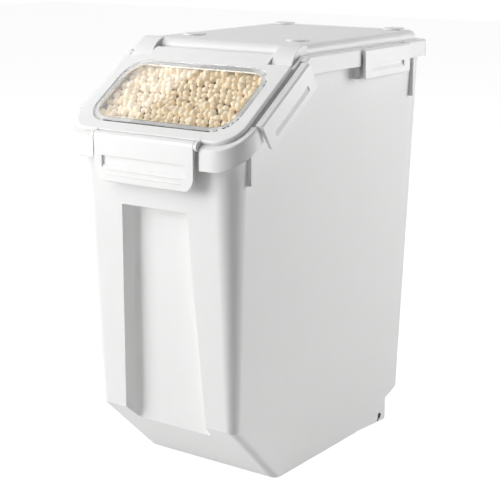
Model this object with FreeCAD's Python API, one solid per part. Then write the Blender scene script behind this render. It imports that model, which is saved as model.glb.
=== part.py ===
import FreeCAD
import Part
import os
from math import cos, radians, sqrt, tan

# Rice container: a tapered tub on feet and rollers, a latched lift-off lid, a sloping flip lid with a window.
# Millimetres, +Z up, front towards -Y, origin on the floor under the middle of the whole.

# Whole
collar_width = 223.0
collar_length = 368.0
deck_height = 445.3
slope_deg = 33.5
slope_run = 118.5
floor_gap = 5.0
overrun = 20.0
joint_overlap = 0.8
clear_gap = 0.35
running_gap = 0.05

# Tub
side_draft_deg = 2.3
front_draft_deg = 3.23
rear_draft_deg = 0.3
rim_inset_side = 9.0
rim_inset_front = 8.6
rim_inset_rear = 8.0
tub_wall = 2.6
front_corner_top = 26.0
front_corner_base = 7.5
rear_corner_top = 9.0
rear_corner_base = 8.0
front_chamfer_height = 74.5
front_chamfer_run = 73.1
front_chamfer_edge = 7.5
rear_chamfer_height = 33.7
rear_chamfer_run = 94.2
base_rounding = 8.0
bead_inset = 7.5
bead_height = 6.0

# Front recess of the tub
recess_top_drop = 66.9
recess_top_width = 81.0
recess_base_width = 104.0
recess_depth = 15.0
recess_side_run = 5.5
recess_fillet = 6.0

# Ribs under the collar
rib_height = 32.0
rib_reach = 2.6
front_rib_width = 7.0
front_rib_setback = 36.6
rear_rib_width = 3.0
rear_rib_setback = 27.8

# Feet, axles and rollers
foot_length = 34.0
foot_width = 20.0
foot_side_inset = 11.0
foot_front_setback = 17.0
foot_rounding = 4.0
roller_radius = 8.0
roller_width = 19.0
roller_rounding = 1.2
axle_radius = 3.5
axle_rear_setback = 41.0
axle_end_recess = 1.0
slot_mouth_width = 3.0
slot_lean_deg = 38.0
cheek_thickness = 3.5
cheek_side_inset = 1.2
cheek_rear_reach = 13.0
cheek_ground_gap = 0.6
cheek_corner = 3.0
roller_side_gap = 0.8

# Lid collar
collar_corner_front = 32.0
collar_corner_rear = 18.0
collar_wall = 2.4
collar_web = 3.0
skirt_height = 17.5
collar_rounding = 2.0
spigot_inset = 15.4
spigot_wall = 2.2
spigot_depth = 14.0
web_inset = 25.5
opening_corner = 10.0
sill_width = 20.0
gasket_thickness = 2.2
gasket_width = 3.3

# Hinge of the flip lid
hinge_down_slope = 6.3
hinge_depth = 0.5
hinge_barrel_radius = 5.0
hinge_rod_radius = 2.0
ear_foot_down_slope = 17.9
ear_crest_setback = 5.6
ear_bulge = 3.8
ear_width = 24.0
ear_reach = 12.0
ear_boss_radius = 5.6
beam_down_slope = 24.0
beam_depth = 11.0
beam_behind_hinge = 15.0
trough_gap = 1.6
rod_end_cover = 3.0

# Top plate
plate_side_inset = 15.5
plate_height = 9.7
plate_wall = 2.5
plate_rear_inset = 4.5
plate_front_gap = 1.4
plate_corner = 8.0
plate_rounding = 1.8
plate_front_rounding = 8.0
pad_radius = 12.0
pad_height = 2.0
pad_rounding = 0.9
pad_front_side_inset = 30.0
pad_front_setback = 46.0
pad_rear_side_inset = 22.5
pad_rear_setback = 15.0

# Flip lid and window
rail_side_width = 8.0
rail_front_width = 5.5
flip_thickness = 4.1
flip_lift = 0.4
flip_rounding = 2.0
flip_corner_top = 4.0
tongue_side_inset = 21.0
ear_side_gap = 0.5
ear_front_gap = 1.5
tongue_root = 10.5
pane_side_margin = 13.5
pane_top_down_slope = 27.0
pane_length = 96.0
pane_corner = 26.0
pane_flange = 1.8
pane_crown = 0.8
pane_rounding = 0.6
pane_gap = 0.3
view_margin = 6.5
window_gasket_margin = 2.2
window_gasket_width = 2.0
window_gasket_height = 1.0
seal_width = 2.6
seal_margin = 2.6
seal_groove_depth = 1.6
seal_proud = 0.05

# Latches
latch_length = 94.0
latch_drop = 27.0
latch_barrel_radius = 4.0
latch_proud = 4.0
latch_thickness = 3.2
latch_shoulder = 3.0
latch_corner = 5.0
latch_edge = 1.2
latch_axis_inset = 3.0
latch_axis_depth = 4.3
latch_end_gap = 2.0
latch_inner_gap = 0.4
latch_bridge = 2.6
stub_radius = 1.7
stub_length = 6.0
lug_length = 6.5
lug_depth = 8.8
lug_bead_gap = 0.6
finger_slot_length = 68.0
finger_slot_drop = 13.0
finger_slot_height = 6.8
finger_slot_depth = 1.9
finger_slot_flat = 2.4
nose_length = 50.0
nose_height = 3.4
nose_reach = 4.0
catch_height = 6.0
catch_extra_length = 8.0
catch_guard_length = 10.0
top_latch_rear_setback = 103.5
slope_latch_run = 56.0

# Front latch
front_latch_length = 123.0
front_latch_drop = 44.8
front_barrel_radius = 5.0
front_latch_proud = 3.5
front_latch_thickness = 3.4
front_latch_corner = 15.0
front_axis_lift = 0.8
front_lug_width = 3.4
front_pin_radius = 1.5
front_slot_length = 104.0
front_slot_drop = 18.8
front_slot_height = 12.0
front_slot_depth = 2.2
front_slot_flat = 8.0
front_nose_length = 60.0
ridge_radius = 0.9
ridge_length = 92.0
ridge_drops = (31.8, 36.8)
front_side_gap = 0.5

# Values that follow from the sizes above
collar_half = collar_width / 2
half_depth = (collar_length + front_latch_proud + ridge_radius / 2) / 2
collar_rear_y = half_depth
collar_front_y = collar_rear_y - collar_length
crease_y = collar_front_y + slope_run
front_top_z = deck_height - slope_run * tan(radians(slope_deg))
rim_drop = collar_web + gasket_thickness + clear_gap
top_latch_run = collar_length - slope_run - top_latch_rear_setback
side_reach = collar_half + overrun
front_reach_y = collar_front_y - overrun
rear_reach_y = collar_rear_y + overrun
X_AXIS = FreeCAD.Vector(1, 0, 0)
Y_AXIS = FreeCAD.Vector(0, 1, 0)
Z_AXIS = FreeCAD.Vector(0, 0, 1)
quarter_turn_deg = 90.0
crease_point = FreeCAD.Vector(0, crease_y, deck_height)
level_frame = FreeCAD.Placement(crease_point, FreeCAD.Rotation())
slope_frame = FreeCAD.Placement(crease_point, FreeCAD.Rotation(X_AXIS, slope_deg))


# Helpers
def box(low, high):
    size = [b - a for a, b in zip(low, high)]
    return Part.makeBox(size[0], size[1], size[2], FreeCAD.Vector(*low))


def rod_x(radius, x_low, x_high, y, z):
    return Part.makeCylinder(radius, x_high - x_low, FreeCAD.Vector(x_low, y, z), X_AXIS)


def rod_y(radius, y_low, y_high, x, z):
    return Part.makeCylinder(radius, y_high - y_low, FreeCAD.Vector(x, y_low, z), Y_AXIS)


def prism_x(points, x_low, x_high):
    corners = [FreeCAD.Vector(x_low, y, z) for y, z in points]
    face = Part.Face(Part.makePolygon(corners + corners[:1]))
    return face.extrude(FreeCAD.Vector(x_high - x_low, 0, 0))


def outline(half_width, front, rear, front_radius, rear_radius, z):
    """Rounded rectangle seen from above, as a closed wire at height z."""
    corners = [
        (half_width, front, front_radius, 1, 1),
        (half_width, rear, rear_radius, 1, -1),
        (-half_width, rear, rear_radius, -1, -1),
        (-half_width, front, front_radius, -1, 1),
    ]
    arcs = []
    ends = []
    for x, y, radius, side, inward in corners:
        middle = FreeCAD.Vector(x - side * radius, y + inward * radius, z)
        across = FreeCAD.Vector(middle.x, y, z)
        along = FreeCAD.Vector(x, middle.y, z)
        bulge = middle + FreeCAD.Vector(side, -inward, 0).normalize() * radius
        first, last = (across, along) if side == inward else (along, across)
        arcs.append(Part.Arc(first, bulge, last).toShape())
        ends.append((first, last))
    edges = []
    for index, arc in enumerate(arcs):
        edges.append(arc)
        following = ends[(index + 1) % len(ends)]
        edges.append(Part.makeLine(ends[index][1], following[0]))
    return Part.Wire(edges)


def slab(half_width, front, rear, front_radius, rear_radius, low, high):
    face = Part.Face(outline(half_width, front, rear, front_radius, rear_radius, low))
    return face.extrude(FreeCAD.Vector(0, 0, high - low))


def collar_slab(inset, low, high):
    """Upright block whose outline is the collar's, moved in by inset."""
    front_radius = max(collar_corner_front - inset, joint_overlap)
    rear_radius = max(collar_corner_rear - inset, joint_overlap)
    half = collar_half - inset
    return slab(half, collar_front_y + inset, collar_rear_y - inset, front_radius, rear_radius, low, high)


def lid_line(depth):
    """The lid's bent top line seen from the side, moved down square to itself by depth."""
    bend_y = crease_y + depth * tan(radians(slope_deg / 2))
    bend_z = deck_height - depth
    front_z = bend_z - (bend_y - front_reach_y) * tan(radians(slope_deg))
    return [(front_reach_y, front_z), (bend_y, bend_z), (rear_reach_y, bend_z)]


def lid_strip(top, bottom):
    return prism_x(lid_line(top) + lid_line(bottom)[::-1], -side_reach, side_reach)


def place(shape, frame):
    return shape.transformed(frame.toMatrix(), True)


def mirrored(shape):
    return shape.mirror(FreeCAD.Vector(0, 0, 0), X_AXIS)


def both_sides(shape):
    return [shape, mirrored(shape)]


def soften(shape, radius, chosen):
    return shape.makeFillet(radius, [edge for edge in shape.Edges if chosen(edge)])


def straight_along(edge, axis):
    if not isinstance(edge.Curve, Part.Line):
        return False
    return edge.Curve.Direction.cross(axis).Length < running_gap


def near(value, target):
    return abs(value - target) < running_gap / 2


def at_height(edge, z):
    return all(near(vertex.Z, z) for vertex in edge.Vertexes)


def save(shape, name):
    shape.exportStep("parts/" + name + ".step")


os.makedirs("parts", exist_ok=True)

# Tub shell: drafted walls between two rounded outlines, chamfered below, cut along the rim line
tub_base_z = floor_gap


def tub_half_width(z):
    return collar_half - rim_inset_side - (deck_height - z) * tan(radians(side_draft_deg))


def tub_front_y(z):
    return collar_front_y + rim_inset_front + (front_top_z - z) * tan(radians(front_draft_deg))


def tub_rear_y(z):
    return collar_rear_y - rim_inset_rear - (deck_height - z) * tan(radians(rear_draft_deg))


def corner_radius(z, base, top):
    return base + (top - base) * (z - tub_base_z) / (deck_height - tub_base_z)


def tub_walls(inset):
    wires = []
    for z in (tub_base_z - overrun, deck_height + overrun):
        wires.append(outline(
            tub_half_width(z) - inset,
            tub_front_y(z) + inset,
            tub_rear_y(z) - inset,
            corner_radius(z, front_corner_base, front_corner_top) - inset,
            corner_radius(z, rear_corner_base, rear_corner_top) - inset,
            z,
        ))
    return Part.makeLoft(wires, True, True)


chamfer_top_z = tub_base_z + front_chamfer_height
chamfer_front = (tub_front_y(chamfer_top_z), chamfer_top_z)
chamfer_foot = (tub_front_y(tub_base_z) + front_chamfer_run, tub_base_z)
rear_top_z = tub_base_z + rear_chamfer_height
rear_chamfer_top = (tub_rear_y(rear_top_z), rear_top_z)
rear_chamfer_foot = (tub_rear_y(tub_base_z) - rear_chamfer_run, tub_base_z)
front_chamfer_slope = front_chamfer_height / (chamfer_front[0] - chamfer_foot[0])
rear_chamfer_slope = rear_chamfer_height / (rear_chamfer_top[0] - rear_chamfer_foot[0])
front_stretch = sqrt(1 + front_chamfer_slope ** 2)
rear_stretch = sqrt(1 + rear_chamfer_slope ** 2)


def front_chamfer_z(y, lift):
    return tub_base_z + (y - chamfer_foot[0]) * front_chamfer_slope + lift * front_stretch


def rear_chamfer_z(y, lift):
    return tub_base_z + (y - rear_chamfer_foot[0]) * rear_chamfer_slope + lift * rear_stretch


def tub_side_view(inset, rim_depth):
    bottom_z = tub_base_z + inset
    front_lift = inset * front_stretch
    rear_lift = inset * rear_stretch
    front_foot_y = chamfer_foot[0] + (inset - front_lift) / front_chamfer_slope
    rear_foot_y = rear_chamfer_foot[0] + (inset - rear_lift) / rear_chamfer_slope
    points = [
        (front_reach_y, front_chamfer_z(front_reach_y, inset)),
        (front_foot_y, bottom_z),
        (rear_foot_y, bottom_z),
        (rear_reach_y, rear_chamfer_z(rear_reach_y, inset)),
    ]
    body = prism_x(points + lid_line(rim_depth)[::-1], -side_reach, side_reach)
    bends = (front_foot_y, rear_foot_y)

    def is_bend(edge):
        if not straight_along(edge, X_AXIS):
            return False
        middle = edge.CenterOfMass
        return near(middle.z, bottom_z) and any(near(middle.y, bend) for bend in bends)

    return soften(body, base_rounding, is_bend)


recess_top_height = front_top_z - recess_top_drop


def recess_block(grow):
    """The front recess as a solid, its sides leaning in towards the back."""
    top_z = recess_top_height + grow
    foot_z = tub_base_z - overrun
    widening = (recess_base_width - recess_top_width) / 2 / (recess_top_height - chamfer_top_z)
    lean = recess_side_run / recess_depth
    wires = []
    for depth in (-overrun, recess_depth + grow):
        top_half = recess_top_width / 2 + grow - depth * lean
        foot_half = top_half + (top_z - foot_z) * widening
        corners = [
            FreeCAD.Vector(-top_half, tub_front_y(top_z) + depth, top_z),
            FreeCAD.Vector(top_half, tub_front_y(top_z) + depth, top_z),
            FreeCAD.Vector(foot_half, tub_front_y(foot_z) + depth, foot_z),
            FreeCAD.Vector(-foot_half, tub_front_y(foot_z) + depth, foot_z),
        ]
        wires.append(Part.makePolygon(corners + corners[:1]))
    block = Part.makeLoft(wires, True, True)

    def is_back_edge(edge):
        backs = [near(v.Y - tub_front_y(v.Z), recess_depth + grow) for v in edge.Vertexes]
        return all(backs)

    def is_side_back_edge(edge):
        return is_back_edge(edge) and not straight_along(edge, X_AXIS)

    return soften(block, recess_fillet, is_side_back_edge)


def chamfer_edge_cut(inset):
    """What rounding takes off the edge between the front chamfer and the right side wall."""
    down = FreeCAD.Vector(0, front_chamfer_slope, -1).normalize()
    out = FreeCAD.Vector(1, 0, -tan(radians(side_draft_deg))).normalize()
    ends = []
    for z in (chamfer_top_z + overrun, tub_base_z - overrun):
        edge_y = chamfer_foot[0] + (z - tub_base_z) / front_chamfer_slope
        ends.append(FreeCAD.Vector(tub_half_width(z), edge_y, z))
    bisector = (down + out) / (1 + down.dot(out))
    start = ends[0] - bisector * front_chamfer_edge
    along = ends[1] - ends[0]
    radius = front_chamfer_edge - inset
    corners = [
        start,
        start + down * (radius + joint_overlap),
        start + bisector * (radius + joint_overlap),
        start + out * (radius + joint_overlap),
    ]
    wedge = Part.Face(Part.makePolygon(corners + corners[:1])).extrude(along)
    return wedge.cut(Part.makeCylinder(radius, along.Length, start, along))


tub_outer = tub_walls(0).common(tub_side_view(0, rim_drop))
tub_inner = tub_walls(tub_wall).common(tub_side_view(tub_wall, -overrun))
tub_inner = tub_inner.cut(recess_block(tub_wall))
for shape in both_sides(chamfer_edge_cut(0)):
    tub_outer = tub_outer.cut(shape)
for shape in both_sides(chamfer_edge_cut(tub_wall)):
    tub_inner = tub_inner.cut(shape)
tub = tub_outer.cut(recess_block(0))

# Rim bead all round the tub's edge
bead = collar_slab(bead_inset, tub_base_z, deck_height).common(lid_strip(rim_drop, rim_drop + bead_height))
tub = tub.fuse(bead)

# Catches under the latches, in the frame of each latch, and a guard behind the top latch's front end
nose_out = latch_proud + latch_axis_inset - latch_thickness - nose_reach
catch_face_x = collar_half - latch_axis_inset + nose_out - clear_gap
catch_top = -latch_axis_depth - latch_drop + nose_height + clear_gap + catch_height
catch_half = (nose_length + catch_extra_length) / 2
catch_root_x = tub_half_width(tub_base_z)


def side_catch(frame, middle):
    low = (catch_root_x, middle - catch_half, catch_top - catch_height)
    high = (catch_face_x, middle + catch_half, catch_top)
    return place(box(low, high), frame)


guard_front = top_latch_run - latch_length / 2
guard = box(
    (catch_root_x, guard_front, -latch_axis_depth - latch_drop),
    (catch_face_x, guard_front + catch_guard_length, -skirt_height),
)
side_catches = [side_catch(level_frame, top_latch_run), side_catch(slope_frame, -slope_latch_run)]
side_catches.append(place(guard, level_frame))
for catch in side_catches:
    for shape in both_sides(catch):
        tub = tub.fuse(shape)

# Front catch
front_axis_inset = front_barrel_radius - front_latch_proud
front_axis_y = collar_front_y + front_axis_inset
front_axis_rise = front_axis_inset * tan(radians(slope_deg)) + front_axis_lift / cos(radians(slope_deg))
front_axis_z = front_top_z + front_axis_rise
front_nose_out = front_barrel_radius - front_latch_thickness - nose_reach
front_catch_y = front_axis_y - front_nose_out + clear_gap
front_catch_low = front_axis_z - front_latch_drop + nose_height + clear_gap
front_catch_half = (front_nose_length + catch_extra_length) / 2
front_catch = box(
    (-front_catch_half, front_catch_y, front_catch_low),
    (front_catch_half, tub_front_y(tub_base_z), front_catch_low + catch_height),
)
tub = tub.fuse(front_catch)

# Ribs under the collar
for rib_y, rib_width in (
    (collar_front_y + front_rib_setback, front_rib_width),
    (collar_rear_y - rear_rib_setback, rear_rib_width),
):
    if rib_y < crease_y:
        rib_top = front_top_z + (rib_y - collar_front_y) * tan(radians(slope_deg)) - rim_drop - bead_height
    else:
        rib_top = deck_height - rim_drop - bead_height
    rib_face_x = tub_half_width(rib_top) + rib_reach
    rib = box(
        (catch_root_x, rib_y - rib_width / 2, rib_top - skirt_height - rib_height),
        (rib_face_x, rib_y + rib_width / 2, rib_top),
    )
    for shape in both_sides(rib):
        tub = tub.fuse(shape)
tub = tub.cut(tub_inner)

# Wheel cheeks under the rear chamfer, open keyhole slots for the axles
axle_y = collar_rear_y - rim_inset_rear - axle_rear_setback
axle_z = roller_radius
cheek_outer_x = tub_half_width(tub_base_z) - cheek_side_inset
cheek_rear_y = axle_y + cheek_rear_reach
cheek_front_y = rear_chamfer_foot[0]
cheek_view = [
    (cheek_front_y, tub_base_z),
    (cheek_rear_y, cheek_ground_gap),
    (cheek_rear_y, rear_chamfer_z(cheek_rear_y, tub_wall / 2)),
    (cheek_front_y, tub_base_z + tub_wall / 2),
]
roller_outer_x = cheek_outer_x - cheek_thickness - roller_side_gap
inner_cheek_x = roller_outer_x - roller_width - roller_side_gap - cheek_thickness


def cheek(x_low):
    plate = prism_x(cheek_view, x_low, x_low + cheek_thickness)

    def is_corner(edge):
        middle = edge.CenterOfMass
        at_foot = near(middle.y, cheek_rear_y) and near(middle.z, cheek_ground_gap)
        return straight_along(edge, X_AXIS) and at_foot

    plate = soften(plate, cheek_corner, is_corner)
    hole = rod_x(axle_radius + running_gap, x_low - overrun, x_low + overrun, axle_y, axle_z)
    mouth = box(
        (x_low - overrun, -slot_mouth_width / 2, -overrun),
        (x_low + overrun, slot_mouth_width / 2, 0),
    )
    turn = FreeCAD.Placement(FreeCAD.Vector(0, axle_y, axle_z), FreeCAD.Rotation(X_AXIS, -slot_lean_deg))
    return plate.cut(hole).cut(place(mouth, turn))


for shape in both_sides(cheek(cheek_outer_x - cheek_thickness)) + both_sides(cheek(inner_cheek_x)):
    tub = tub.fuse(shape)
tub = tub.removeSplitter()
save(tub, "tub")

# Front feet
foot_outer_x = tub_half_width(tub_base_z) - foot_side_inset
foot_front_y = chamfer_foot[0] + foot_front_setback
foot = slab(
    foot_width / 2, foot_front_y, foot_front_y + foot_length, foot_rounding, foot_rounding, 0, tub_base_z,
)
foot = foot.translated(FreeCAD.Vector(foot_outer_x - foot_width / 2, 0, 0))
save(foot, "right_front_foot")
save(mirrored(foot), "left_front_foot")

# Axles and rollers
axle = rod_x(axle_radius, inner_cheek_x, cheek_outer_x - axle_end_recess, axle_y, axle_z)
roller = rod_x(roller_radius, roller_outer_x - roller_width, roller_outer_x, axle_y, axle_z)
roller = soften(roller, roller_rounding, lambda edge: isinstance(edge.Curve, Part.Circle))
roller = roller.cut(rod_x(axle_radius + running_gap, 0, side_reach, axle_y, axle_z))
save(axle, "right_axle")
save(mirrored(axle), "left_axle")
save(roller, "right_roller")
save(mirrored(roller), "left_roller")

# Lid collar: skirt and web over the rim, a spigot inside the tub
collar = collar_slab(0, tub_base_z, deck_height + overrun).common(lid_strip(0, skirt_height))


def on_top_rim(edge):
    for vertex in edge.Vertexes:
        drop = max(crease_y - vertex.Y, 0) * tan(radians(slope_deg))
        if not near(vertex.Z, deck_height - drop):
            return False
    return not (straight_along(edge, X_AXIS) and near(edge.CenterOfMass.y, crease_y))


collar = soften(collar, collar_rounding, on_top_rim)
under_web = lid_strip(collar_web, skirt_height + overrun)
collar = collar.cut(collar_slab(collar_wall, tub_base_z, deck_height).common(under_web))
spigot = collar_slab(spigot_inset, tub_base_z, deck_height).cut(
    collar_slab(spigot_inset + spigot_wall, tub_base_z - overrun, deck_height + overrun)
)
collar = collar.fuse(spigot.common(lid_strip(collar_web / 2, spigot_depth)))
opening_half = collar_half - web_inset
opening = slab(
    opening_half, collar_front_y + sill_width, collar_rear_y - web_inset,
    opening_corner, opening_corner, tub_base_z, deck_height + overrun,
)
collar = collar.cut(opening)

# Cross beam with the trough of the flip lid's hinge
hinge_point = slope_frame.multVec(FreeCAD.Vector(0, -hinge_down_slope, -hinge_depth))
beam_rear_y = hinge_point.y + beam_behind_hinge
beam_front_top = slope_frame.multVec(FreeCAD.Vector(0, -beam_down_slope, 0))
beam_front_low = slope_frame.multVec(FreeCAD.Vector(0, -beam_down_slope, -beam_depth))
beam_bend = lid_line(beam_depth)[1]
beam = prism_x(
    [
        (beam_front_top.y, beam_front_top.z),
        (crease_y, deck_height),
        (beam_rear_y, deck_height),
        (beam_rear_y, deck_height - beam_depth),
        beam_bend,
        (beam_front_low.y, beam_front_low.z),
    ],
    -opening_half - joint_overlap, opening_half + joint_overlap,
)
trough_radius = max(hinge_barrel_radius, ear_boss_radius) + trough_gap
trough = rod_x(trough_radius, -opening_half, opening_half, hinge_point.y, hinge_point.z)
collar = collar.fuse(beam.cut(trough)).cut(trough)

# Groove for the scoop seal round the opening on the slope
sill_down_slope = (slope_run - sill_width) / cos(radians(slope_deg))
seal_half = opening_half + seal_margin
seal_top = -beam_down_slope + seal_margin
seal_foot = -sill_down_slope - seal_margin


def seal_ring(low, high):
    outer = slab(
        seal_half + seal_width, seal_foot - seal_width, seal_top + seal_width,
        opening_corner, opening_corner, low, high,
    )
    inner = slab(
        seal_half, seal_foot, seal_top,
        opening_corner - seal_width, opening_corner - seal_width, low - overrun, high + overrun,
    )
    return place(outer.cut(inner), slope_frame)


collar = collar.cut(seal_ring(-seal_groove_depth, overrun))

# Notches, lugs and stub holes for the side latches
latch_axis_x = collar_half - latch_axis_inset
notch_half = latch_length / 2 + latch_end_gap
notch_x = latch_axis_x - latch_barrel_radius - latch_inner_gap
lug_x = collar_half - bead_inset + lug_bead_gap


def latch_seat(frame, middle):
    notch = box(
        (notch_x, middle - notch_half, -skirt_height - overrun),
        (side_reach, middle + notch_half, overrun),
    )
    lugs = []
    for low in (middle - notch_half - lug_length, middle + notch_half):
        lugs.append(box(
            (lug_x, low, -lug_depth),
            (collar_half - collar_wall / 2, low + lug_length, -collar_web / 2),
        ))
    hole = rod_y(
        stub_radius + running_gap, middle - latch_length / 2 - stub_length - running_gap,
        middle + latch_length / 2 + stub_length + running_gap, latch_axis_x, -latch_axis_depth,
    )
    return place(notch, frame), [place(lug, frame) for lug in lugs], place(hole, frame)


seats = [latch_seat(level_frame, top_latch_run), latch_seat(slope_frame, -slope_latch_run)]
for notch, lugs, hole in seats:
    for shape in both_sides(notch):
        collar = collar.cut(shape)
    for lug in lugs:
        for shape in both_sides(lug):
            collar = collar.fuse(shape)
    for shape in both_sides(hole):
        collar = collar.cut(shape)

# Notch for the front latch
front_notch_half = front_latch_length / 2 + front_side_gap + front_lug_width + front_side_gap
front_notch_y = front_axis_y + front_barrel_radius + latch_inner_gap
front_notch = box(
    (-front_notch_half, front_reach_y, tub_base_z),
    (front_notch_half, front_notch_y, deck_height),
)
collar = collar.cut(front_notch).removeSplitter()
save(collar, "lid_collar")

# Gaskets of the lid and of the scoop opening
gasket_inset = bead_inset + (rim_inset_side - bead_inset + tub_wall - gasket_width) / 2
gasket = collar_slab(gasket_inset, tub_base_z, deck_height).cut(
    collar_slab(gasket_inset + gasket_width, tub_base_z - overrun, deck_height + overrun)
)
gasket = gasket.common(lid_strip(collar_web, collar_web + gasket_thickness))
save(gasket, "lid_gasket")
save(seal_ring(-seal_groove_depth, seal_proud), "scoop_seal")

# Top plate with its hinge ears
plate_half = collar_half - plate_side_inset
tongue_half = plate_half - tongue_side_inset
plate_front_y = hinge_point.y + hinge_barrel_radius + plate_front_gap
plate_rear_y = collar_rear_y - plate_rear_inset
plate_top_z = deck_height + plate_height
plate = slab(
    plate_half, plate_front_y, plate_rear_y, plate_rounding, plate_corner, deck_height, plate_top_z,
)


def is_plate_front(edge):
    at_front = near(edge.CenterOfMass.y, plate_front_y)
    return straight_along(edge, X_AXIS) and at_height(edge, plate_top_z) and at_front


plate = soften(plate, plate_front_rounding, is_plate_front)
ear_in = tongue_half + ear_side_gap
ear_out = ear_in + ear_width
ear_back_y = plate_front_y + ear_reach
ear_foot = slope_frame.multVec(FreeCAD.Vector(0, -ear_foot_down_slope, 0))


def ear():
    start = FreeCAD.Vector(ear_in, ear_foot.y, ear_foot.z)
    crest = FreeCAD.Vector(ear_in, crease_y + ear_crest_setback, plate_top_z)
    bulge = (start + crest) / 2 + X_AXIS.cross(crest - start).normalize() * ear_bulge
    corners = [
        crest,
        FreeCAD.Vector(ear_in, ear_back_y, plate_top_z),
        FreeCAD.Vector(ear_in, ear_back_y, deck_height),
        FreeCAD.Vector(ear_in, crease_y, deck_height),
        start,
    ]
    edges = [Part.Arc(start, bulge, crest).toShape()]
    for first, second in zip(corners, corners[1:]):
        edges.append(Part.makeLine(first, second))
    body = Part.Face(Part.Wire(edges)).extrude(FreeCAD.Vector(ear_width, 0, 0))
    boss = rod_x(ear_boss_radius, ear_in, opening_half - ear_side_gap, hinge_point.y, hinge_point.z)
    return body.fuse(boss)


hollow = slab(
    plate_half - plate_wall, ear_back_y + plate_wall, plate_rear_y - plate_wall,
    plate_corner - plate_wall, plate_corner - plate_wall, tub_base_z, plate_top_z - plate_wall,
)
for shape in both_sides(ear()):
    plate = plate.fuse(shape)
plate = plate.cut(hollow)
rod_half = opening_half - rod_end_cover
bore_half = rod_half + running_gap
plate = plate.cut(rod_x(
    hinge_rod_radius + running_gap, -bore_half, bore_half, hinge_point.y, hinge_point.z,
))
plate = plate.removeSplitter()
save(plate, "top_plate")
save(rod_x(hinge_rod_radius, -rod_half, rod_half, hinge_point.y, hinge_point.z), "flip_hinge_rod")

# Stacking pads on the plate
pads = []
for side_inset, pad_y in (
    (pad_front_side_inset, plate_front_y + pad_front_setback),
    (pad_rear_side_inset, plate_rear_y - pad_rear_setback),
):
    pad_foot = FreeCAD.Vector(plate_half - side_inset, pad_y, plate_top_z)
    pad = Part.makeCylinder(pad_radius, pad_height, pad_foot)
    pad = soften(pad, pad_rounding, lambda edge: at_height(edge, plate_top_z + pad_height))
    pads.extend(both_sides(pad))
save(Part.makeCompound(pads), "stacking_pads")

# Flip lid, built flat in the slope's own frame: x, up the slope, square to it
flip_low = flip_lift
flip_high = flip_lift + flip_thickness
flip_half = collar_half - rail_side_width
flip_foot = -(slope_run - rail_front_width) / cos(radians(slope_deg))
flip_top = -ear_foot_down_slope - ear_front_gap
flip_corner_foot = collar_corner_front - rail_front_width
flip = slab(flip_half, flip_foot, flip_top, flip_corner_foot, flip_corner_top, flip_low, flip_high)
flip = soften(flip, flip_rounding, lambda edge: at_height(edge, flip_high))
flip = flip.fuse(box(
    (-tongue_half, flip_top - tongue_root, flip_low),
    (tongue_half, -hinge_down_slope, flip_high),
))
flip = flip.fuse(rod_x(hinge_barrel_radius, -tongue_half, tongue_half, -hinge_down_slope, -hinge_depth))
flip = flip.cut(rod_x(
    hinge_rod_radius + running_gap, -side_reach, side_reach, -hinge_down_slope, -hinge_depth,
))

# Window rebate and view opening
pane_half = flip_half - pane_side_margin
pane_top = -pane_top_down_slope
pane_foot = pane_top - pane_length
pane_seat = flip_high - pane_flange
view_half = pane_half - view_margin
view_corner = pane_corner - view_margin


def pane_slab(inset, low, high):
    radius = pane_corner - inset
    return slab(pane_half - inset, pane_foot + inset, pane_top - inset, radius, radius, low, high)


flip = flip.cut(pane_slab(0, pane_seat, flip_high + overrun))
flip = flip.cut(pane_slab(view_margin, flip_low - overrun, flip_high + overrun))
gasket_low = pane_seat - window_gasket_height
window_gasket = pane_slab(window_gasket_margin, gasket_low, pane_seat).cut(
    pane_slab(window_gasket_margin + window_gasket_width, gasket_low - overrun, pane_seat + overrun)
)
flip = flip.cut(window_gasket)

# Seat of the front latch at the flip lid's lower edge
front_axis = slope_frame.inverse().multVec(FreeCAD.Vector(0, front_axis_y, front_axis_z))
front_half = front_latch_length / 2
lug_in = front_half + front_side_gap
lug_out = lug_in + front_lug_width
flip = flip.cut(rod_x(front_barrel_radius + latch_inner_gap, -lug_in, lug_in, front_axis.y, front_axis.z))
lug = rod_x(front_barrel_radius, lug_in, lug_out, front_axis.y, front_axis.z)
lug = lug.fuse(box((lug_in, front_axis.y, flip_low), (lug_out, flip_foot + flip_corner_top, flip_high)))
for shape in both_sides(lug):
    flip = flip.fuse(shape)
pin_half = lug_out - front_side_gap
bore_half = pin_half + running_gap
flip = flip.cut(rod_x(
    front_pin_radius + running_gap, -bore_half, bore_half, front_axis.y, front_axis.z,
))
save(place(flip.removeSplitter(), slope_frame), "flip_lid")
pin = rod_x(front_pin_radius, -pin_half, pin_half, front_axis.y, front_axis.z)
save(place(pin, slope_frame), "front_latch_pin")
save(place(window_gasket, slope_frame), "window_gasket")

# Window pane: a flange in the rebate and a plug in the view opening
pane_high = flip_high + pane_crown
pane = pane_slab(pane_gap, pane_seat, pane_high)
pane = soften(pane, pane_rounding, lambda edge: at_height(edge, pane_high))
pane = pane.fuse(pane_slab(view_margin + pane_gap, flip_low + pane_gap, pane_seat)).removeSplitter()
save(place(pane, slope_frame), "window_pane")


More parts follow.
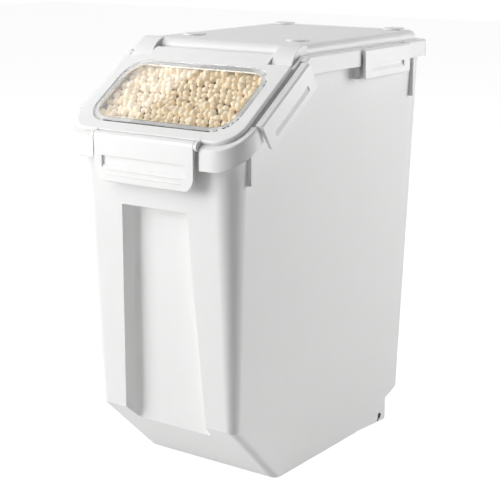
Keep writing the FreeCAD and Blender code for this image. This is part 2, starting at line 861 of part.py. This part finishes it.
# Latches, built about their axis: x outwards, y along the axis, z up
def latch(length, drop, barrel, face_out, shoulder, thickness, corner, slot, nose):
    inner = face_out - thickness
    flat_end = FreeCAD.Vector(face_out - shoulder, 0, barrel)
    corners = [
        FreeCAD.Vector(face_out, 0, barrel - shoulder),
        FreeCAD.Vector(face_out, 0, -drop + latch_edge),
        FreeCAD.Vector(face_out - latch_edge, 0, -drop),
        FreeCAD.Vector(inner, 0, -drop),
        FreeCAD.Vector(inner, 0, -latch_bridge),
        FreeCAD.Vector(0, 0, -latch_bridge),
        FreeCAD.Vector(0, 0, barrel),
    ]
    if shoulder < face_out:
        corners.append(flat_end)
    middle = flat_end - FreeCAD.Vector(0, 0, shoulder)
    bulge = middle + FreeCAD.Vector(1, 0, 1).normalize() * shoulder
    edges = [Part.Arc(corners[-1], bulge, corners[0]).toShape()]
    for first, second in zip(corners, corners[1:]):
        edges.append(Part.makeLine(first, second))
    body = Part.Face(Part.Wire(edges)).extrude(FreeCAD.Vector(0, length, 0))
    body = body.translated(FreeCAD.Vector(0, -length / 2, 0))
    view = outline(length / 2, -drop, barrel + overrun, corner, latch_edge, 0)
    mask = Part.Face(view).extrude(FreeCAD.Vector(0, 0, side_reach))
    upright = FreeCAD.Rotation(Y_AXIS, Z_AXIS, X_AXIS, "ZXY")
    mask = place(mask, FreeCAD.Placement(FreeCAD.Vector(-overrun, 0, 0), upright))
    body = body.common(mask)
    body = body.fuse(rod_y(barrel, -length / 2, length / 2, 0, 0))
    slot_length, slot_drop, slot_height, slot_depth, slot_flat = slot
    floor = face_out - slot_depth
    pocket = [
        FreeCAD.Vector(face_out + slot_depth, 0, -slot_drop),
        FreeCAD.Vector(floor, 0, -slot_drop),
        FreeCAD.Vector(floor, 0, -slot_drop - slot_flat),
        FreeCAD.Vector(face_out, 0, -slot_drop - slot_height),
        FreeCAD.Vector(face_out + slot_depth, 0, -slot_drop - slot_height),
    ]
    pocket = Part.Face(Part.makePolygon(pocket + pocket[:1])).extrude(FreeCAD.Vector(0, slot_length, 0))
    body = body.cut(pocket.translated(FreeCAD.Vector(0, -slot_length / 2, 0)))
    hook = box(
        (inner - nose_reach, -nose / 2, -drop),
        (inner + joint_overlap, nose / 2, -drop + nose_height),
    )
    return body.fuse(hook)


finger_slot = (finger_slot_length, finger_slot_drop, finger_slot_height, finger_slot_depth, finger_slot_flat)
latch_face_out = latch_proud + latch_axis_inset
side_latch = latch(
    latch_length, latch_drop, latch_barrel_radius, latch_face_out, latch_shoulder, latch_thickness,
    latch_corner, finger_slot, nose_length,
)
stub_half = latch_length / 2 + stub_length
side_latch = side_latch.fuse(rod_y(stub_radius, -stub_half, stub_half, 0, 0)).removeSplitter()
for name, frame, middle in (
    ("top_latch", level_frame, top_latch_run),
    ("slope_latch", slope_frame, -slope_latch_run),
):
    seat = FreeCAD.Placement(FreeCAD.Vector(latch_axis_x, middle, -latch_axis_depth), FreeCAD.Rotation())
    shape = place(side_latch, frame.multiply(seat))
    save(shape, "right_" + name)
    save(mirrored(shape), "left_" + name)

# Front latch: the same kind of latch, turned to face the front, with two grip ridges
front_slot = (front_slot_length, front_slot_drop, front_slot_height, front_slot_depth, front_slot_flat)
front_latch = latch(
    front_latch_length, front_latch_drop, front_barrel_radius, front_barrel_radius, front_barrel_radius,
    front_latch_thickness, front_latch_corner, front_slot, front_nose_length,
)
for ridge_drop in ridge_drops:
    ridge_out = front_barrel_radius - ridge_radius / 2
    ridge = rod_y(ridge_radius, -ridge_length / 2, ridge_length / 2, ridge_out, -ridge_drop)
    front_latch = front_latch.fuse(ridge)
front_latch = front_latch.cut(rod_y(front_pin_radius + running_gap, -side_reach, side_reach, 0, 0))
facing = FreeCAD.Placement(
    FreeCAD.Vector(0, front_axis_y, front_axis_z),
    FreeCAD.Rotation(Z_AXIS, -quarter_turn_deg),
)
save(place(front_latch.removeSplitter(), facing), "front_latch")
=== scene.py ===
import random
from math import cos, radians, sin, tau

import bmesh
import bpy
from mathutils import Euler, Matrix, Quaternion, Vector


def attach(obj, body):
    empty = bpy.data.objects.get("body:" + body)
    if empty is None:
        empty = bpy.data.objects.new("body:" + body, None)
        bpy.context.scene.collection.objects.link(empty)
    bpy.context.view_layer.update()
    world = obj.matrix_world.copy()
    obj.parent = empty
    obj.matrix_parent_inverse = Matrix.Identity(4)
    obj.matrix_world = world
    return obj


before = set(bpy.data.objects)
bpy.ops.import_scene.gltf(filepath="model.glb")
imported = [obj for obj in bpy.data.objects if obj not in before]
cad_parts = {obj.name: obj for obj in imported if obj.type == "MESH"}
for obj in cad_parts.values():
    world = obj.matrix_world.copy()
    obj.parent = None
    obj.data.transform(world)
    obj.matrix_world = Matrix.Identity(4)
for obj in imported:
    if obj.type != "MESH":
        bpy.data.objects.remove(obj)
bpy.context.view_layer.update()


# Tub: one injection moulding in white polypropylene, with drafted walls, a grip recess, ribs and catches.
# A finely etched mould gives it a satin face, and the melt leaves faint streaks that run up its walls.
class Shade:
    """A socket of the finish being written, so that its maths reads as an expression."""

    def __init__(self, tree, socket=None):
        self.tree = tree
        self.socket = socket

    def node(self, kind, settings=None, sockets=None, output=0):
        made = self.tree.nodes.new(kind)
        for name, value in (settings or {}).items():
            setattr(made, name, value)
        for key, value in (sockets or {}).items():
            if isinstance(value, Shade):
                self.tree.links.new(value.socket, made.inputs[key])
            else:
                made.inputs[key].default_value = value
        return Shade(self.tree, made.outputs[output] if made.outputs else None)

    def math(self, operation, first, second):
        return self.node("ShaderNodeMath", {"operation": operation}, {0: first, 1: second})

    def __add__(self, other):
        return self.math("ADD", self, other)

    __radd__ = __add__

    def __sub__(self, other):
        return self.math("SUBTRACT", self, other)

    def __rsub__(self, other):
        return self.math("SUBTRACT", other, self)

    def __mul__(self, other):
        return self.math("MULTIPLY", self, other)

    __rmul__ = __mul__

    def noise(self, scale, detail):
        sockets = {"Vector": self, "Scale": scale, "Detail": detail}
        return self.node("ShaderNodeTexNoise", {}, sockets, "Fac")

    def ramp(self, low, high):
        sockets = {"Value": self, "From Min": low, "From Max": high}
        return self.node("ShaderNodeMapRange", {"interpolation_type": "SMOOTHSTEP"}, sockets)

    def tint(self, first, second):
        low, high = (end if isinstance(end, Shade) else (*end, 1) for end in (first, second))
        return self.node("ShaderNodeMix", {"data_type": "RGBA"}, {0: self, 6: low, 7: high}, 2)


def new_finish(name):
    finish = bpy.data.materials.new(name)
    finish.use_nodes = True
    finish.node_tree.nodes.clear()
    return finish, Shade(finish.node_tree)


def show(shade, surface):
    shade.node("ShaderNodeOutputMaterial", {}, {"Surface": surface})


mm = 0.001


def moulded(name, colour, shadow, roughness, streaks, grain, softness):
    finish, shade = new_finish(name)
    place = shade.node("ShaderNodeTexCoord", output="Object")
    upright = shade.node("ShaderNodeMapping", {}, {"Vector": place, "Scale": (90, 90, 7)})
    flow = upright.noise(1, 3)
    cloud = place.noise(18, 4)
    pores = place.noise(grain, 2)
    mottle = (flow * streaks + cloud * (1 - streaks)).ramp(0.3, 0.7)
    soft_edge = shade.node("ShaderNodeBevel", {"samples": 6}, {"Radius": softness})
    skin = shade.node("ShaderNodeBump", {}, {
        "Strength": 0.12,
        "Distance": 0.2 * mm,
        "Height": pores,
        "Normal": soft_edge,
    })
    show(shade, shade.node("ShaderNodeBsdfPrincipled", {}, {
        "Base Color": mottle.tint(shadow, colour),
        "Roughness": roughness + (pores - 0.5) * 0.12 + (cloud - 0.5) * 0.1,
        "IOR": 1.49,
        "Normal": skin,
    }))
    return finish


def dress(finish, *nodes):
    for node in nodes:
        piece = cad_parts[node]
        piece.data.materials.clear()
        piece.data.materials.append(finish)


tub_plastic = moulded(
    "tub_satin_white", colour=(0.87, 0.87, 0.865), shadow=(0.86, 0.86, 0.855),
    roughness=0.42, streaks=0.4, grain=1300, softness=0.8 * mm,
)
dress(tub_plastic, "tub")

# Front feet: two low pads of the same plastic, snapped under the front corners of the tub.
# They are a little greyer and duller, because they rub along the floor.
foot_plastic = moulded(
    "foot_dull_white", colour=(0.80, 0.80, 0.79), shadow=(0.70, 0.70, 0.69),
    roughness=0.6, streaks=0.2, grain=900, softness=0.5 * mm,
)
dress(foot_plastic, "left_front_foot", "right_front_foot")


# Axles: short blackened steel rods, held in keyhole slots through the wheel cheeks at the rear.
# They are drawn along X, so their fine lines run that way.
def drawn_steel(name, colour, shadow, roughness):
    finish, shade = new_finish(name)
    place = shade.node("ShaderNodeTexCoord", output="Object")
    lengthwise = shade.node("ShaderNodeMapping", {}, {"Vector": place, "Scale": (20, 2500, 2500)})
    lines = lengthwise.noise(1, 2)
    stain = place.noise(160, 3)
    score = shade.node("ShaderNodeBump", {}, {"Strength": 0.1, "Distance": 0.1 * mm, "Height": lines})
    show(shade, shade.node("ShaderNodeBsdfPrincipled", {}, {
        "Base Color": stain.ramp(0.35, 0.7).tint(shadow, colour),
        "Metallic": 1.0,
        "Roughness": roughness + lines * 0.15,
        "Normal": score,
    }))
    return finish


axle_steel = drawn_steel(
    "blackened_steel", colour=(0.02, 0.02, 0.02), shadow=(0.01, 0.01, 0.01), roughness=0.45,
)
dress(axle_steel, "left_axle", "right_axle")

# Rollers: two wheels moulded in dark plastic, which run on the axles behind the cheeks.
# They are duller than the white mouldings above them, because the floor scuffs them.
roller_plastic = moulded(
    "roller_dark", colour=(0.10, 0.10, 0.10), shadow=(0.06, 0.06, 0.06),
    roughness=0.55, streaks=0.1, grain=1100, softness=0.4 * mm,
)
dress(roller_plastic, "left_roller", "right_roller")

# Soybeans: the dry food in the tub, heaped level at the rear and sloping down behind the window.
# A closed bed holds up the top layers, which are separate beans of about 7 mm, each with its own tint.
# A faint glow stands for the light that the thin white walls let in to them.
# The bed is painted dark brown, as painted shade in the gaps between the beans.
bed_outline_mm = (
    (-73, 10), (79, 10), (160, 44), (160, 416), (-90, 416),
    (-154, 373.5), (-154, 320), (-138, 307), (-138, 200), (-134, 71), (-107, 42),
)
bed_foot = 10 * mm
bed_rise = 406 * mm
bed_foot_half = 79.5 * mm
bed_top_half = 90.5 * mm
bed_shade_tone = -1
fill = bmesh.new()
bean_tint = fill.verts.layers.float.new("bean_tint")
bed_side = fill.faces.new([fill.verts.new((-bed_foot_half, y * mm, z * mm)) for y, z in bed_outline_mm])
grown = bmesh.ops.extrude_face_region(fill, geom=[bed_side])["geom"]
far_side = [item for item in grown if isinstance(item, bmesh.types.BMVert)]
bmesh.ops.translate(fill, verts=far_side, vec=(2 * bed_foot_half, 0, 0))
for vert in fill.verts:
    vert.co.x *= 1 + (bed_top_half / bed_foot_half - 1) * (vert.co.z - bed_foot) / bed_rise
    vert[bean_tint] = bed_shade_tone
bmesh.ops.recalc_face_normals(fill, faces=fill.faces)

soybean_mesh = bpy.data.meshes.new("soybean_fill")
chance = random.Random(11)
bean_radius = 3.75 * mm
bean_form = (1.06, 0.99, 0.94)
bean_pitch = 7.3 * mm
bean_columns = 24
row_step = 1.04
slack = 0.18
lift = 1.0 * mm
side_way = Vector((1, 0, 0))


def lay_beans(corner, along, up, rows, share=1.0):
    """Lays rows of beans over the bed, each row made apart because operators are slow on a large mesh."""
    for row in range(rows):
        strip = bmesh.new()
        strip_tint = strip.verts.layers.float.new("bean_tint")
        for column in range(bean_columns):
            if chance.random() > share:
                continue
            aside = column + 0.5 * (row % 2) + chance.uniform(-slack, slack)
            ahead = row * row_step + chance.uniform(-slack, slack)
            spot = corner + side_way * (aside * bean_pitch) + along * (ahead * bean_pitch)
            spot += up * chance.uniform(-1, 1) * lift
            turn = Euler([chance.uniform(0, tau) for axis in range(3)]).to_matrix().to_4x4()
            swell = bean_radius * chance.uniform(0.9, 1.06)
            form = Matrix.Diagonal([swell * stretch for stretch in bean_form] + [1])
            made = bmesh.ops.create_uvsphere(
                strip, u_segments=8, v_segments=6, radius=1, matrix=Matrix.Translation(spot) @ turn @ form,
            )
            tone = chance.random()
            for vert in made["verts"]:
                vert[strip_tint] = tone
        for face in strip.faces:
            face.smooth = True
        strip.to_mesh(soybean_mesh)
        strip.free()
        fill.from_mesh(soybean_mesh)


lid_crease_y = -63.525 * mm
lid_deck_z = 445.3 * mm
lid_slope = radians(33.5)
up_slope = Vector((0, cos(lid_slope), sin(lid_slope)))
off_slope = Vector((0, -sin(lid_slope), cos(lid_slope)))
bean_left = -86 * mm
slope_length = 115 * mm
full_layer_depth = 8.6 * mm
loose_layer_depth = 5.4 * mm
slope_start = Vector((bean_left, lid_crease_y, lid_deck_z)) - up_slope * slope_length
lay_beans(slope_start - off_slope * full_layer_depth, up_slope, off_slope, rows=12)
lay_beans(slope_start - off_slope * loose_layer_depth, up_slope, off_slope, rows=12, share=0.25)
level_start = Vector((bean_left, -84 * mm, 417 * mm))
lay_beans(level_start, Vector((0, 1, 0)), Vector((0, 0, 1)), rows=32)
front_start = Vector((bean_left, -155 * mm, 367 * mm))
lay_beans(front_start, Vector((0, 0, -1)), Vector((0, -1, 0)), rows=3)

fill.to_mesh(soybean_mesh)
fill.free()
soybeans = bpy.data.objects.new("soybean_fill", soybean_mesh)
bpy.context.scene.collection.objects.link(soybeans)
tan_skin = (0.80, 0.65, 0.44)
cream_skin = (0.95, 0.86, 0.68)
# The bed's dark brown is painted shade, which shows as shadow between the beans.
bed_shade_brown = (0.17, 0.105, 0.048)
finish, shade = new_finish("soybean_skin_and_bed_shade")
place = shade.node("ShaderNodeTexCoord", output="Object")
tone = shade.node("ShaderNodeAttribute", {"attribute_name": "bean_tint"}, output="Fac")
speckle = place.noise(420, 3)
wrinkle = place.noise(900, 2)
skin = (tone * 0.7 + speckle * 0.3).tint(tan_skin, cream_skin)
# The bed takes the painted shade brown, and the beans take their own skin colours.
skin_or_bed_shade = tone.ramp(bed_shade_tone, 0).tint(bed_shade_brown, skin)
husk = shade.node("ShaderNodeBump", {}, {"Strength": 0.2, "Distance": 0.2 * mm, "Height": wrinkle})
show(shade, shade.node("ShaderNodeBsdfPrincipled", {}, {
    "Base Color": skin_or_bed_shade,
    "Roughness": 0.42 + speckle * 0.2,
    "Emission Color": skin_or_bed_shade,
    "Emission Strength": 0.18,
    "Normal": husk,
}))
soybean_mesh.materials.append(finish)
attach(soybeans, "tub_body")

# Lid collar: a frame moulded in white plastic, which covers the rim along its level and sloping stretches.
# It comes from a smoother mould than the tub, so it is a little brighter and glossier.
lid_plastic = moulded(
    "lid_satin_white", colour=(0.885, 0.885, 0.88), shadow=(0.865, 0.865, 0.86),
    roughness=0.38, streaks=0.3, grain=1500, softness=0.8 * mm,
)
dress(lid_plastic, "lid_collar")

# Gaskets: soft translucent silicone rings under the lid, around the scoop mouth and under the window.
# They are dull and faintly dusty, and a little light passes into them.
finish, shade = new_finish("silicone_pale")
place = shade.node("ShaderNodeTexCoord", output="Object")
dust = place.noise(300, 4)
show(shade, shade.node("ShaderNodeBsdfPrincipled", {}, {
    "Base Color": dust.tint((0.84, 0.84, 0.83), (0.89, 0.89, 0.88)),
    "Roughness": 0.5 + dust * 0.2,
    "Subsurface Weight": 0.2,
    "Subsurface Radius": (2 * mm, 2 * mm, 2 * mm),
}))
dress(finish, "lid_gasket", "scoop_seal", "window_gasket")

# Top plate and stacking pads: the flat cover behind the hinge, with four low pads that locate a second bin.
# It is moulded in white plastic, lies on the collar, and is a shade greyer and duller than it.
plate_plastic = moulded(
    "plate_satin_white", colour=(0.86, 0.86, 0.86), shadow=(0.84, 0.84, 0.84),
    roughness=0.4, streaks=0.15, grain=1500, softness=0.7 * mm,
)
dress(plate_plastic, "top_plate", "stacking_pads")

# Hinge rod and latch pin: drawn steel rods in the ears and lugs, out of sight when the lid is shut.
# They are left bright, with fine lines along them.
rod_steel = drawn_steel(
    "bright_steel", colour=(0.62, 0.62, 0.62), shadow=(0.5, 0.5, 0.5), roughness=0.22,
)
dress(rod_steel, "flip_hinge_rod", "front_latch_pin")

# Flip lid: the cover over the slope, moulded in white plastic, hinged at the plate's ears.
# It has a rebate for the window, and is the brightest of the mouldings and smoother than the collar.
flip_plastic = moulded(
    "flip_lid_white", colour=(0.90, 0.90, 0.895), shadow=(0.88, 0.88, 0.875),
    roughness=0.34, streaks=0.2, grain=1500, softness=0.7 * mm,
)
dress(flip_plastic, "flip_lid")


# Window: a clear polished acrylic pane, set into the rebate on its gasket.
# Lamps reach the beans through it, and wiping leaves faint smears that dull its shine in places.
def rays(shade, first, *others):
    found = shade.node("ShaderNodeLightPath", output=first)
    for kind in others:
        found += shade.node("ShaderNodeLightPath", output=kind)
    return found


finish, shade = new_finish("window_clear")
place = shade.node("ShaderNodeTexCoord", output="Object")
wiped = shade.node("ShaderNodeMapping", {}, {"Vector": place, "Scale": (14, 40, 40)})
smear = wiped.noise(1, 4).ramp(0.45, 0.75)
pane = shade.node("ShaderNodeBsdfPrincipled", {}, {
    "Base Color": (1, 1, 1, 1),
    "Roughness": smear * 0.012,
    "IOR": 1.49,
    "Transmission Weight": 1.0,
})
clear = shade.node("ShaderNodeBsdfTransparent", {}, {"Color": (1, 1, 1, 1)})
lamplight = rays(shade, "Is Shadow Ray", "Is Diffuse Ray")
show(shade, shade.node("ShaderNodeMixShader", {}, {0: lamplight, 1: pane, 2: clear}))
dress(finish, "window_pane")

# Latches: four on the collar's sides, snapped on stubs, and one on the flip lid's front edge, on its pin.
# They are thin mouldings in white plastic, the glossiest on the bin, because hands rub them.
latch_plastic = moulded(
    "latch_white", colour=(0.885, 0.885, 0.88), shadow=(0.87, 0.87, 0.865),
    roughness=0.3, streaks=0.2, grain=1500, softness=0.6 * mm,
)
dress(latch_plastic, "front_latch", "left_top_latch", "right_top_latch")
dress(latch_plastic, "left_slope_latch", "right_slope_latch")

# Floor: a flat sheet of plain white paper under the bin, which keeps the bin's soft shadow.
# Seen directly, in gloss or through the window, it is lifted to the white of the backdrop.
floor_half = 6
ground = bmesh.new()
bmesh.ops.create_grid(ground, x_segments=1, y_segments=1, size=floor_half)
floor_mesh = bpy.data.meshes.new("floor")
ground.to_mesh(floor_mesh)
ground.free()
floor = bpy.data.objects.new("floor", floor_mesh)
bpy.context.scene.collection.objects.link(floor)
backdrop_rays = ("Is Camera Ray", "Is Glossy Ray", "Is Transmission Ray")
finish, shade = new_finish("floor_white")
seen = rays(shade, *backdrop_rays)
paper = shade.node("ShaderNodeBsdfDiffuse", {}, {"Color": (0.8, 0.8, 0.8, 1)})
thin_paper = shade.node("ShaderNodeBsdfDiffuse", {}, {"Color": (0.3, 0.3, 0.3, 1)})
glow = shade.node("ShaderNodeEmission", {}, {"Color": (1, 1, 1, 1), "Strength": 0.955})
lit_paper = shade.node("ShaderNodeAddShader", {}, {0: thin_paper, 1: glow})
show(shade, shade.node("ShaderNodeMixShader", {}, {0: seen, 1: paper, 2: lit_paper}))
floor_mesh.materials.append(finish)

# Studio: softboxes at the left front, the front, the right rear and overhead, in a dim and nearly even room.
# A panel at the left rear is mirrored in the upper left half of the window.
# Seen directly, in gloss or through the window, the walls are white, and dimmer from about 25 degrees up.
studio = bpy.data.worlds.new("studio")
bpy.context.scene.world = studio
studio.use_nodes = True
studio.node_tree.nodes.clear()
shade = Shade(studio.node_tree)
heading = shade.node("ShaderNodeTexCoord", output="Generated")
rise = shade.node("ShaderNodeSeparateXYZ", {}, {0: heading}, "Z")
dim_room = rise.ramp(0.0, 0.8).tint((0.03, 0.03, 0.03), (0.04, 0.04, 0.04))
white_walls = rise.ramp(0.42, 0.62).tint((1, 1, 1), (0.25, 0.25, 0.25))
surroundings = rays(shade, *backdrop_rays).tint(dim_room, white_walls)
backdrop = shade.node("ShaderNodeBackground", {}, {"Color": surroundings, "Strength": 1.0})
shade.node("ShaderNodeOutputWorld", {}, {"Surface": backdrop})

mid_bin = (0, 0, 0.23)
mid_window = (-0.001, -0.114, 0.418)


def softbox(name, towards, power, aim=mid_bin, reach=2.2, width=1.2, height=1.2, turn=0):
    lamp = bpy.data.lights.new(name, "AREA")
    lamp.shape = "RECTANGLE"
    lamp.size = width
    lamp.size_y = height
    lamp.energy = power
    stand = bpy.data.objects.new(name, lamp)
    way = Vector(towards).normalized()
    stand.location = Vector(aim) + way * reach
    stand.rotation_euler = (way.to_track_quat("Z", "Y") @ Quaternion((0, 0, 1), turn)).to_euler()
    bpy.context.scene.collection.objects.link(stand)


softbox("key_softbox", (-0.692, -0.692, 0.208), power=33)
softbox("front_softbox", (-0.3, -0.64, 0.7), power=14)
softbox("rear_softbox", (0.692, 0.692, 0.208), power=30)
softbox("top_softbox", (0, -0.02, 1), power=10)
softbox(
    "window_panel", (-0.72, 0.319, 0.617), power=4,
    aim=mid_window, reach=1.84, width=0.8, height=1.0, turn=radians(69),
)

# Camera: a long lens a little above the lid, turned to show the front and the right side.
# It stands about 1.5 m from the bin.
look_down = 13.867
look_round = 35.519
lens = bpy.data.cameras.new("photo_camera")
lens.lens = 96.615
lens.sensor_width = 36
camera = bpy.data.objects.new("photo_camera", lens)
camera.location = (0.822914, -1.160229, 0.575248)
camera.rotation_euler = (radians(90 - look_down), 0, radians(look_round))
bpy.context.scene.collection.objects.link(camera)
bpy.context.scene.camera = camera

bpy.context.scene.view_settings.view_transform = "Standard"
